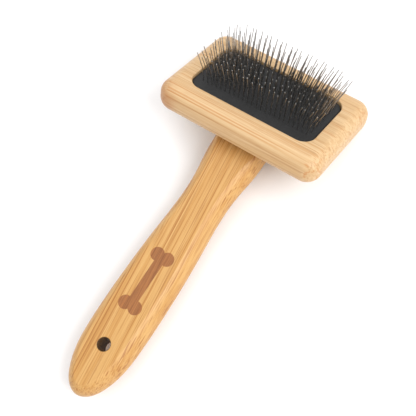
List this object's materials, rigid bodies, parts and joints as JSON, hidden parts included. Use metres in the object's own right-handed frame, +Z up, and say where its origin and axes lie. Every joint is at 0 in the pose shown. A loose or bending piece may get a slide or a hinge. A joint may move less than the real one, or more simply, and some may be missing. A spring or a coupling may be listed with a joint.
{
  "type": "slicker brush",
  "caption": "Grooming brush: rounded wooden head with a cushioned pad of fine bent wire pins, on an angled flat wooden handle with a hanging hole.",
  "frame": {"origin": "below the middle of the brush, at the height of its lowest edge (the head's back edge), pins up and handle level", "axes": "+X across the handle and along the head's long side, +Y from the handle's tip to the head, +Z up from the handle's back to its flat top"},
  "size_m": [0.09, 0.1942, 0.0478],
  "materials": {
    "head_bamboo": "pale bamboo, satin lacquer",
    "handle_bamboo": "honey bamboo, satin lacquer",
    "screw_steel": "zinc-plated wood screw",
    "foam": "open-cell foam",
    "backing_cloth": "woven canvas backing",
    "black_rubber": "matte, finely pitted",
    "pin_steel": "bright drawn wire"
  },
  "bodies": {
    "wood_body": {"handle": "handle_bamboo", "head_block": "head_bamboo", "head_screws": "screw_steel", "cushion_foam": "foam"},
    "pin_pad": {"pin_cloth": "backing_cloth", "rubber_pad": "black_rubber", "pin_row_01": "pin_steel", "pin_row_02": "pin_steel", "pin_row_03": "pin_steel", "pin_row_04": "pin_steel", "pin_row_05": "pin_steel", "pin_row_06": "pin_steel", "pin_row_07": "pin_steel", "pin_row_08": "pin_steel", "pin_row_09": "pin_steel", "pin_row_10": "pin_steel", "pin_row_11": "pin_steel"}
  },
  "joints": [
    {"name": "cushion_press", "type": "slide", "parent": "wood_body", "child": "pin_pad", "axis": [0, -0.4741, -0.8805], "range_m": [0, 0.0015], "stiffness_N_per_m": 3000, "deforming": ["cushion_foam"]}
  ]
}
